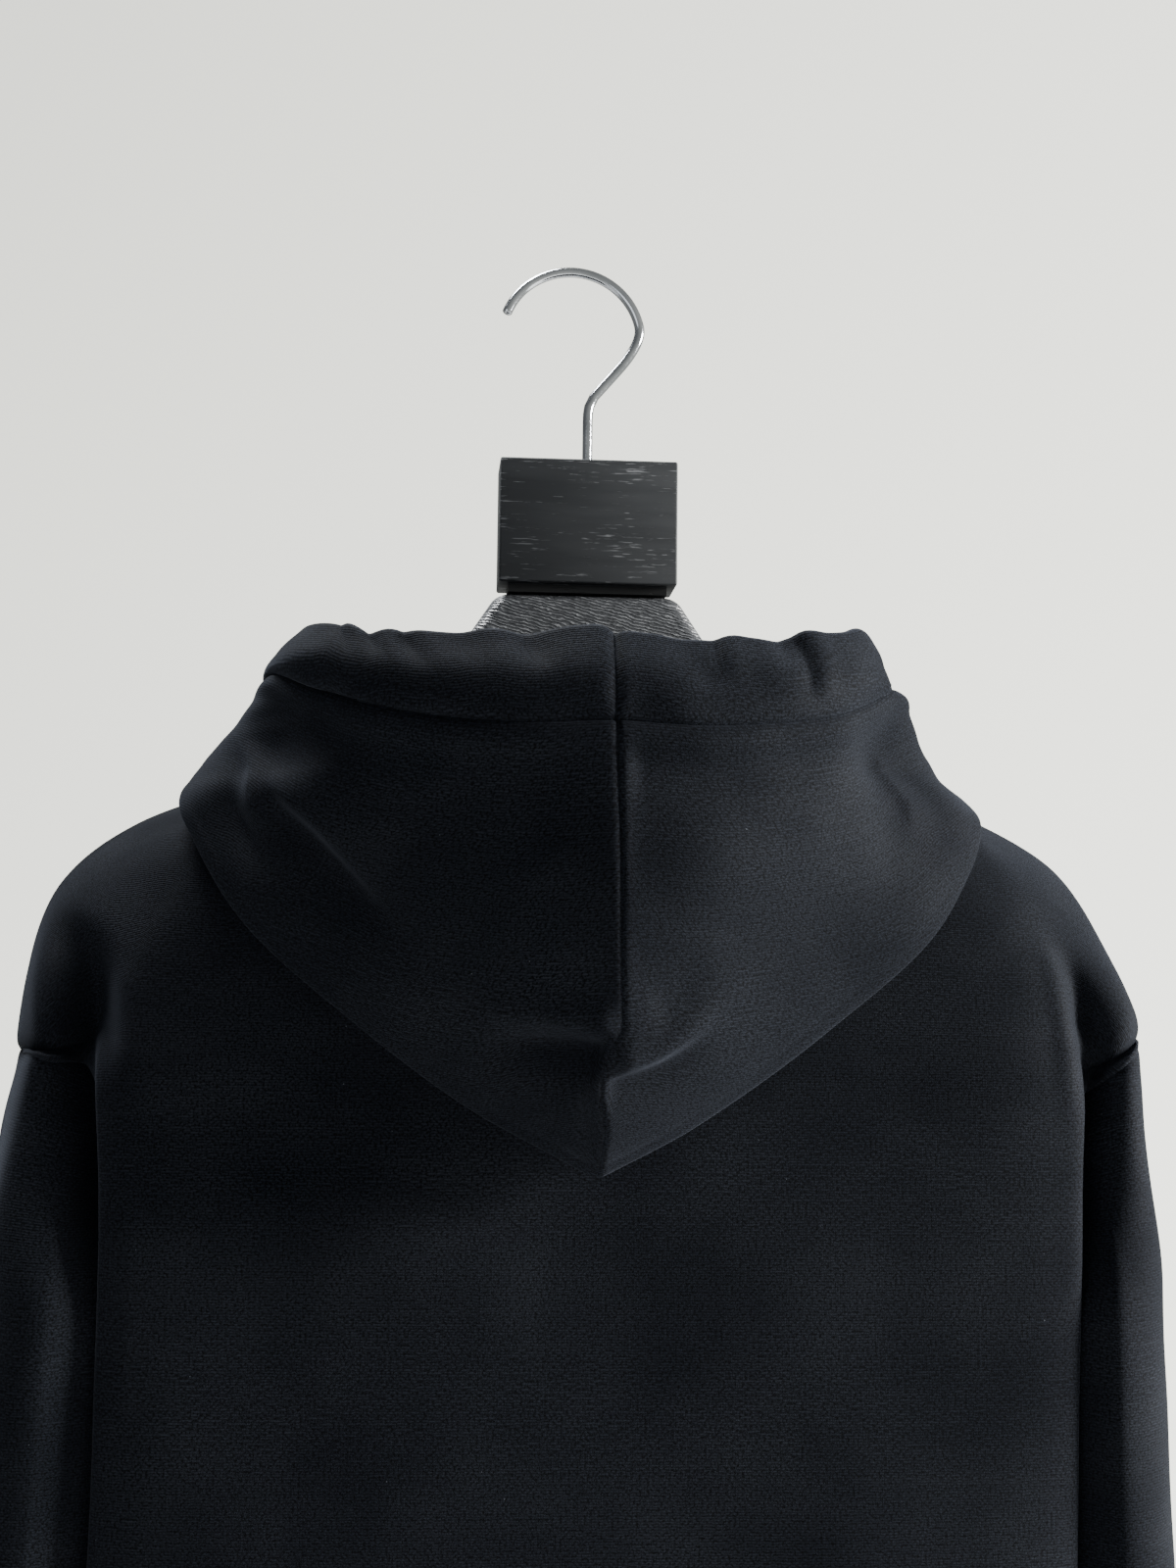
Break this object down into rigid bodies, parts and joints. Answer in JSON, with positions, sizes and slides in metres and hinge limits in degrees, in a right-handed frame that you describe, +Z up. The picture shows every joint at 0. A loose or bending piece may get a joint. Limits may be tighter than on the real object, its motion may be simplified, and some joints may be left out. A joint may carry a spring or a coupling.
{
  "type": "hooded sweatshirt on a hanger",
  "caption": "Black hooded cotton sweatshirt, hood folded down the back, drop shoulders, ribbed cuffs and hem, on a shaped hanger with a wooden neck block and a wire hook.",
  "frame": {"origin": "the point inside the top of the wire hook that rests on the rail", "axes": "+Z up, -Y out of the garment's back, +X to the right as the back is looked at (the wearer's right side)"},
  "size_m": [0.5544, 0.228, 0.9367],
  "materials": {
    "fleece": "matte fine horizontal knit, faint sheen",
    "rib": "matte vertical rib knit",
    "grained_wood": "black stain with pale open grain, satin",
    "glossy_body": "glossy black with a fine wrinkled texture",
    "chrome": "polished"
  },
  "bodies": {
    "root": {"back_panel": "fleece", "front_panel": "fleece", "sleeve_left": "fleece", "sleeve_right": "fleece", "cuff_left": "rib", "cuff_right": "rib", "hem_band": "rib", "hood_left": "fleece", "hood_right": "fleece", "hood_casing_left": "fleece", "hood_casing_right": "fleece", "hanger_block": "grained_wood", "hanger_body": "glossy_body", "hanger_hook": "chrome"}
  },
  "joints": []
}
